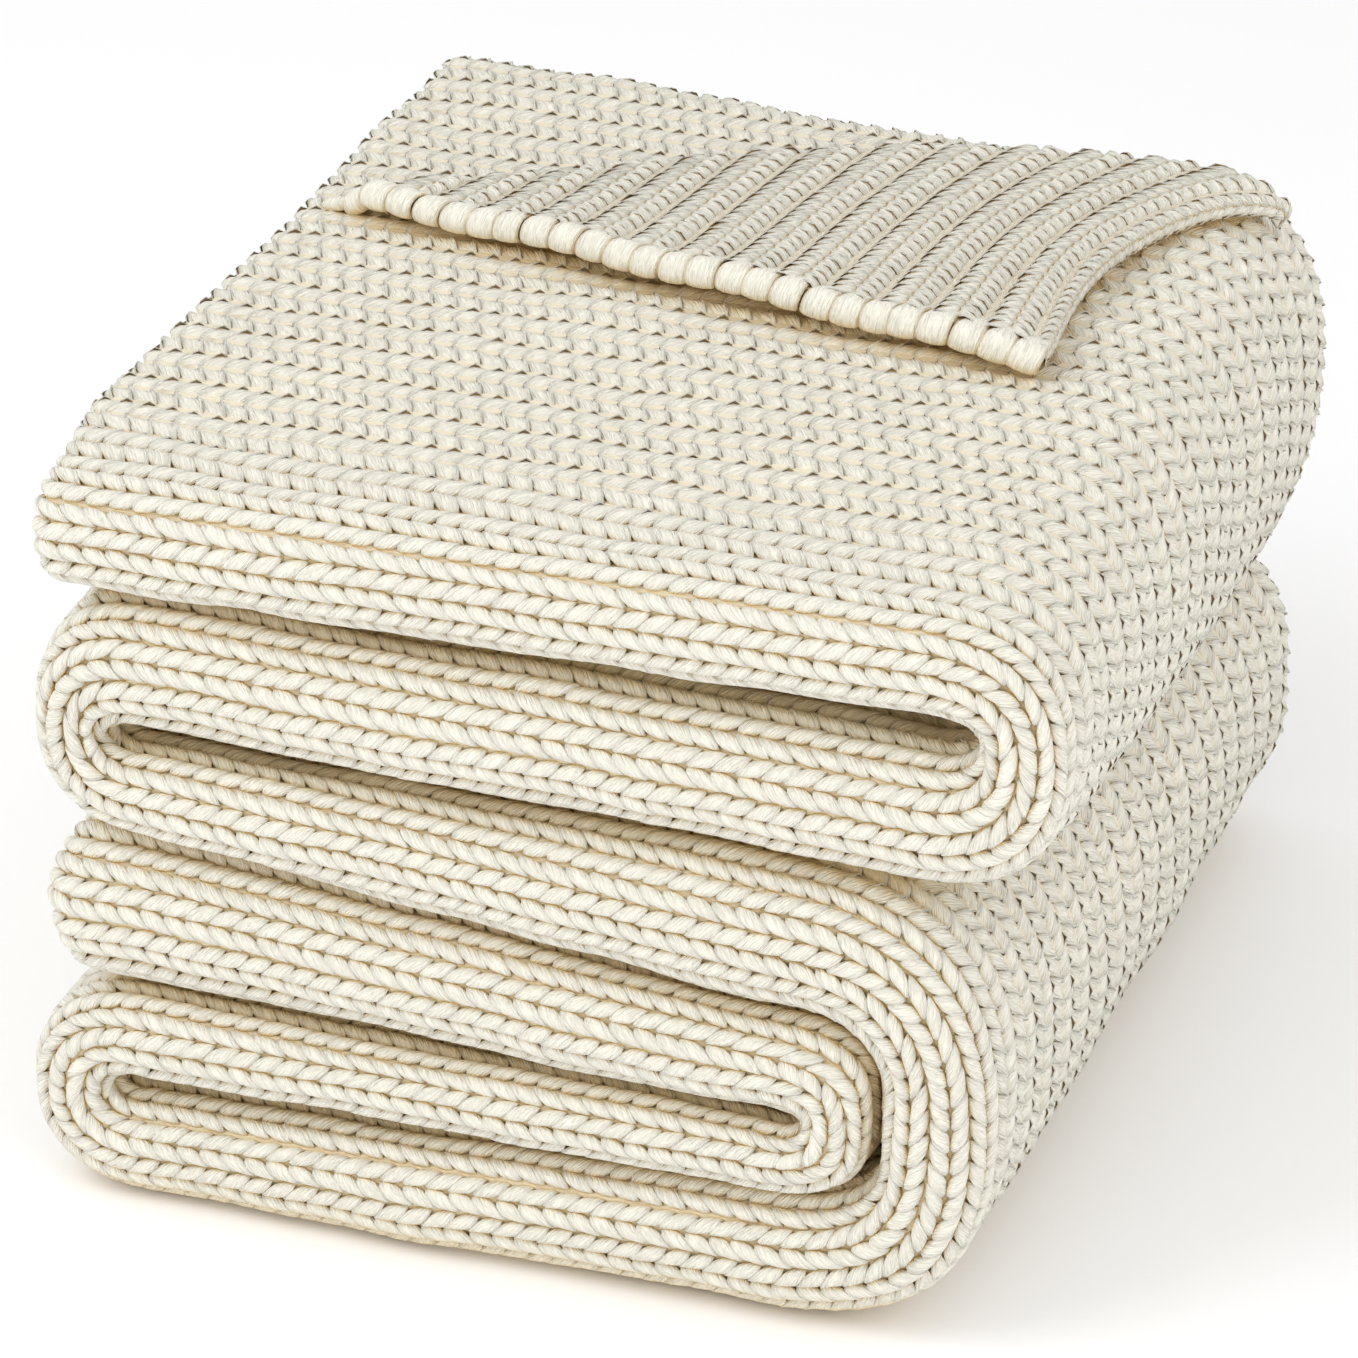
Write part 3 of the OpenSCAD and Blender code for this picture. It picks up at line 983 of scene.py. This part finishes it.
def flap_legs():
    """The stitch legs on the corner. On the lower face they stop at the crease."""
    rng = np.random.default_rng(SEED + 2)
    found = []
    total = (FLAP.points.shape[1] - 1) // WALE_COLUMNS
    for k in range(total):
        run = FLAP.run(k)
        under_face = k > FLAP_WALES
        last = run[FLAP_ROWS - 1] if under_face else run[-1]
        s = np.arange(0, max(last - COURSE * 1.2, 0), FLAP_COURSE)
        for side in (1.0, -1.0):
            n = len(s)
            found.append(dict(k=np.full(n, k), v0=np.full(n, (k + 0.5) * WALE), s=s, side=np.full(n, side)))
    legs = {key: np.concatenate([row[key] for row in found]) for key in found[0]}
    legs = randomise(legs, rng)
    legs["open"] = 0.2 * legs["r1"]
    legs = shape_legs(legs)
    for key, change in FLAP_CHANGE.items():
        legs[key] = legs[key] + change
    return legs


FLAP_CORE_DEPTH = 0.35
# A painted shade share that tints the whole corner core towards gold.
FLAP_CORE_PAINTED_SHADE = 0.3


def flap_core():
    """The inside of the corner, as one closed sheet."""
    points = FLAP.points - FLAP.normals * FLAP_CORE_DEPTH
    rows, columns = points.shape[:2]
    i, j = np.meshgrid(np.arange(rows - 1), np.arange(columns - 1), indexing="ij")
    base = i * columns + j
    quads = np.stack([base, base + 1, base + columns + 1, base + columns], -1)
    left = np.stack([np.arange(rows - 1) * columns, (np.arange(rows - 1) + 1) * columns,
                     (np.arange(rows - 1) + 2) * columns - 1, (np.arange(rows - 1) + 1) * columns - 1], -1)
    half = columns // 2
    j = np.arange(half)
    ends = []
    for row in (0, rows - 1):
        a = row * columns
        end = np.stack([a + j, a + columns - 1 - j, a + columns - 2 - j, a + j + 1], -1)
        ends.append(end if row == 0 else end[:, ::-1])
    quads = np.concatenate([quads.reshape(-1, 4), left, *ends])
    v, f = np.meshgrid(np.arange(columns) * FLAP_STEP, np.arange(rows) * 3.0)
    yarn = np.stack([v, f, 0 * v], -1).reshape(-1, 3)
    return mesh_object("turned_corner_core", points.reshape(-1, 3), quads, yarn,
                       np.full(rows * columns, FLAP_CORE_PAINTED_SHADE), KNIT)


# The loops of the bound edge: their pitch and half width, how far each leans, and its run on the upper and
# the lower face.
LOOP_PITCH = 7.8
LOOP_WIDE = 4.4
LOOP_LEAN = 4.5
LOOP_UPPER_RUN = 9.0
LOOP_LOWER_RUN = 3.0
LOOP_RINGS = 16
LOOP_ACROSS = 8


def bound_loops():
    """The fat loops that bind the edge off. Each wraps the edge from the ribs above to the lower face."""
    top = FLAP.points[0, : FLAP_COLUMNS + 1]
    run = np.concatenate([[0], np.cumsum(np.linalg.norm(np.diff(top, axis=0), axis=1))])
    rng = np.random.default_rng(SEED + 3)
    points, yarns, painted_shades = [], [], []
    tau = np.linspace(0, 1, LOOP_RINGS)
    ang = np.radians(np.linspace(-30, 210, LOOP_ACROSS))
    count = int(run[-1] / LOOP_PITCH)
    middles = np.linspace(3.0, run[-1] - 0.8, count)
    for n in range(count):
        lean = LOOP_LEAN + rng.uniform(-0.8, 0.8)
        wide = LOOP_WIDE + rng.uniform(-0.3, 0.3)
        at_run = middles[n] + (rng.uniform(-0.5, 0.5) if n < count - 1 else 0)
        column = np.interp(at_run, run, np.arange(len(run)))
        v = column * FLAP_STEP
        head, _ = FLAP.at(np.array([0.0, 4.0]), np.array([v, v]))
        foot, _ = FLAP.at(np.array([0.0, 4.0]), np.full(2, (FLAP.points.shape[1] - 1) * FLAP_STEP - v))
        beside, _ = FLAP.at(np.zeros(2), np.array([v - 2, v + 2]))
        out = head[0] - head[1]
        out /= np.linalg.norm(out)
        span = beside[1] - beside[0]
        span /= np.linalg.norm(span)
        up = np.cross(span, -out)
        up /= np.linalg.norm(up)
        middle = (head[0] + foot[0]) / 2
        half = np.linalg.norm(head[0] - foot[0]) / 2 - 0.2
        arc = math.pi * half
        travel = tau * (LOOP_UPPER_RUN + arc + LOOP_LOWER_RUN)
        turn = np.clip((travel - LOOP_UPPER_RUN) / half, 0, math.pi)
        inward = np.clip(LOOP_UPPER_RUN - travel, 0, None) + np.clip(travel - LOOP_UPPER_RUN - arc, 0, None)
        radial = np.cos(turn)[:, None] * up + np.sin(turn)[:, None] * out
        # Both ends sink into the corner, and the upper one is narrow.
        sink = 1.5 * np.clip(1 - tau / 0.36, 0, 1) ** 1.2 + 1.2 * np.clip((tau - 0.85) / 0.15, 0, 1)
        line = middle + radial * (half + 0.35 - sink[:, None]) - out * inward[:, None]
        line = line + span * (lean * (0.5 - tau))[:, None]
        taper = (1 - 0.50 * np.clip(1 - tau / 0.55, 0, 1) ** 1.3)[:, None]
        cross = (span[None, None] * (wide * taper * np.cos(ang))[..., None]
                 + radial[:, None] * (taper * np.sin(ang))[..., None])
        points.append(line[:, None] + cross)
        yarns.append(np.stack(np.broadcast_arrays(np.degrees(ang)[None] / 28 * taper, travel[:, None],
                                                  rng.uniform(0, 1)), -1))
        # Painted shade: the loop's flanks and underside are painted golden, its top not.
        painted_shades.append(np.broadcast_to(np.clip(0.9 - np.sin(ang), 0, 1) ** 2 * 0.8, (LOOP_RINGS, LOOP_ACROSS)))
    return mesh_object("bound_off_loops", np.array(points).reshape(-1, 3),
                       tube_quads(count, LOOP_RINGS, LOOP_ACROSS), np.array(yarns).reshape(-1, 3),
                       np.array(painted_shades).ravel(), KNIT)


def turn_with_corner(piece):
    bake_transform(piece)
    return piece


corner_legs = flap_legs()
# The side edge is the rim's wale with the one above it and the one under it.
side_wale = np.abs(corner_legs["k"] - FLAP_WALES) <= 1
upper = corner_legs["k"] < FLAP_WALES - 1
ribs = turn_with_corner(legs_mesh("turned_corner_ribs", FLAP, pick(corner_legs, upper), FINE, KNIT))
lower_face = turn_with_corner(
    legs_mesh("turned_corner_lower_stitches", FLAP, pick(corner_legs, ~upper & ~side_wale), COARSE, KNIT))
side_edge = turn_with_corner(
    legs_mesh("corner_side_edge_stitches", FLAP, pick(corner_legs, side_wale), FINE, KNIT))
loops = turn_with_corner(bound_loops())
corner = turn_with_corner(flap_core())
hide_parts("turned_corner")
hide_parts("corner_side_edge")
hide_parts("bound_off_edge")

# ---------------------------------------------------------------- floor, light and camera
CAMERA_AT = Vector((0.4599, -1.3634, 0.8617))
CAMERA_TO = Vector((0.0258, -0.1025, 0.1527))
LENS = 164.36
SENSOR = 36.0
FLOOR_SIZE = 6.0
FLOOR_COLOUR = (0.93, 0.925, 0.93, 1)
WORLD_STRENGTH = 0.89
# (name, place, target, size in metres, watts)
LIGHTS = (
    ("key", (-0.75, -0.75, 1.15), (0, 0, 0.1), 0.8, 7.5),
    ("right_fill", (1.25, -0.7, 0.75), (0, 0, 0.1), 1.2, 7.5),
    ("low_fill", (-0.1, -1.7, 0.30), (0, 0, 0.08), 0.9, 5.0),
)


def aim(made, place_at, target):
    made.location = place_at
    made.rotation_euler = (Vector(target) - Vector(place_at)).to_track_quat("-Z", "Y").to_euler()
    return made


def area_light(name, place_at, target, size, watts):
    light = bpy.data.lights.new(name, "AREA")
    light.shape = "SQUARE"
    light.size = size
    light.energy = watts
    made = bpy.data.objects.new(name, light)
    bpy.context.scene.collection.objects.link(made)
    return aim(made, place_at, target)


def floor_piece():
    size = FLOOR_SIZE
    corners = [(-size, -size, 0), (size, -size, 0), (size, size, 0), (-size, size, 0)]
    mesh = bpy.data.meshes.new("floor")
    mesh.from_pydata(corners, [], [(0, 1, 2, 3)])
    made = bpy.data.objects.new("floor", mesh)
    bpy.context.scene.collection.objects.link(made)
    material = bpy.data.materials.new("pale_floor")
    material.use_nodes = True
    shader = material.node_tree.nodes["Principled BSDF"]
    shader.inputs["Base Color"].default_value = FLOOR_COLOUR
    shader.inputs["Roughness"].default_value = 0.9
    shader.inputs["Specular IOR Level"].default_value = 0.1
    mesh.materials.append(material)


floor_piece()
world = bpy.data.worlds.new("studio")
bpy.context.scene.world = world
world.use_nodes = True
background = world.node_tree.nodes["Background"]
background.inputs["Color"].default_value = (1.0, 1.0, 1.0, 1)
background.inputs["Strength"].default_value = WORLD_STRENGTH
for light in LIGHTS:
    area_light(*light)

camera_data = bpy.data.cameras.new("camera")
camera_data.lens = LENS
camera_data.sensor_width = SENSOR
camera = bpy.data.objects.new("camera", camera_data)
bpy.context.scene.collection.objects.link(camera)
aim(camera, CAMERA_AT, CAMERA_TO)
bpy.context.scene.camera = camera
bpy.context.scene.view_settings.view_transform = "Standard"
